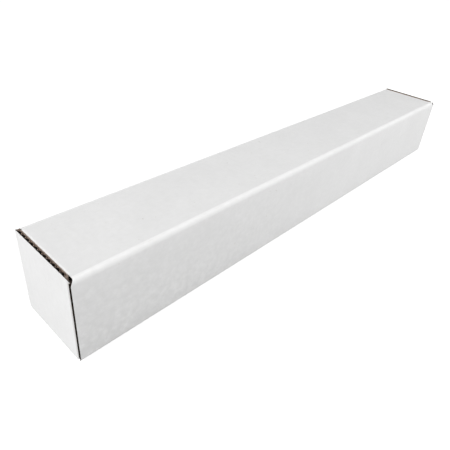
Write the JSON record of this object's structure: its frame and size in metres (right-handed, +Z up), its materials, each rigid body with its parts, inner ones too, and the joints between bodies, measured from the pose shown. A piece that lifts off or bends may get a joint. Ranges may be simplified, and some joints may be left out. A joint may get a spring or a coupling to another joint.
{
  "type": "square mailing tube",
  "caption": "Long square tube of corrugated board, white outside and brown inside, closed at each end by a hinged flap that tucks in over folded dust flaps.",
  "frame": {"origin": "under the middle of the tube, on the surface it lies on", "axes": "+X along the tube from the near end to the far end, +Y towards the back panel that carries both end flaps, +Z up"},
  "size_m": [0.6222, 0.0822, 0.0822],
  "materials": {
    "board": "white liner outside, brown kraft inside",
    "flap_board": "white liner outside, brown kraft flutes and inner liner"
  },
  "bodies": {
    "tube": {"tube_body": "board"},
    "near_flap": {"near_end_flap": "flap_board"},
    "far_flap": {"far_end_flap": "flap_board"}
  },
  "joints": [
    {"name": "near_flap_hinge", "type": "hinge", "parent": "tube", "child": "near_flap", "pos_m": [-0.3111, 0.0411, 0.0411], "axis": [0, 0, -1], "range_deg": [0, 170]},
    {"name": "far_flap_hinge", "type": "hinge", "parent": "tube", "child": "far_flap", "pos_m": [0.3111, 0.0411, 0.0411], "axis": [0, 0, 1], "range_deg": [0, 170]}
  ]
}
